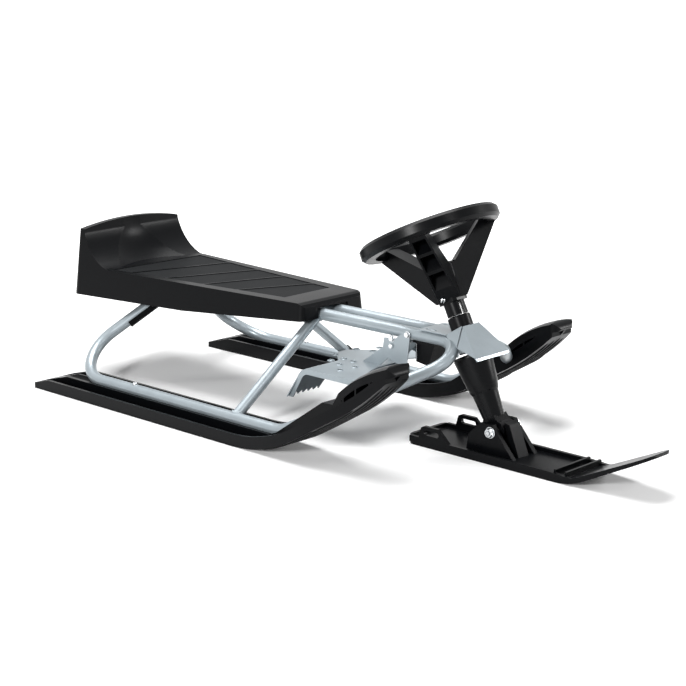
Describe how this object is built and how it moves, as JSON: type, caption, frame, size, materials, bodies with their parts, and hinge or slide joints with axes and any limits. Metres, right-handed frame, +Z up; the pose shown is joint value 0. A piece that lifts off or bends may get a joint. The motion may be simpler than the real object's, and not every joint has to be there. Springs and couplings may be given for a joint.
{
  "type": "steerable snow sled",
  "caption": "Child's snow sled with a tube frame on two runner skis, a moulded seat, a toothed foot brake and a steering wheel that turns the front ski.",
  "frame": {"origin": "centre of the overall box on the ground, below the three skis", "axes": "+X forwards, the way the sled runs, +Y to the rider's left, +Z up"},
  "size_m": [1.184, 0.5, 0.385],
  "materials": {
    "silver_paint": "silver powder coat, satin",
    "black_plastic": "black moulded polyethylene, satin",
    "sleeve_plastic": "black moulded plastic, softer satin",
    "plated_steel": "bright zinc plate"
  },
  "bodies": {
    "frame": {"main_rail_right": "silver_paint", "main_rail_left": "silver_paint", "runner_tube_right": "silver_paint", "runner_tube_left": "silver_paint", "front_leg_right": "silver_paint", "front_leg_left": "silver_paint", "head_tube": "silver_paint", "head_plate": "silver_paint", "hood": "silver_paint", "brake_bracket_right": "silver_paint", "brake_bracket_left": "silver_paint", "brake_pin": "plated_steel", "reel_box": "black_plastic", "runner_ski_right": "black_plastic", "runner_ski_left": "black_plastic", "seat": "black_plastic"},
    "steering": {"steering_shaft": "plated_steel", "steering_column": "black_plastic", "steering_wheel": "black_plastic", "sleeve": "sleeve_plastic", "ski_pin": "plated_steel", "front_ski": "black_plastic"},
    "brake": {"brake": "silver_paint"}
  },
  "joints": [
    {"name": "steer", "type": "hinge", "parent": "frame", "child": "steering", "pos_m": [0.3155, 0, 0], "axis": [-0.4462, 0, 0.8949], "range_deg": [-35, 35]},
    {"name": "foot_brake", "type": "hinge", "parent": "frame", "child": "brake", "pos_m": [0.104, 0, 0.146], "axis": [0, -1, 0], "range_deg": [0, 25], "stiffness_Nm_per_rad": 1.2, "springref_deg": -28.65}
  ]
}
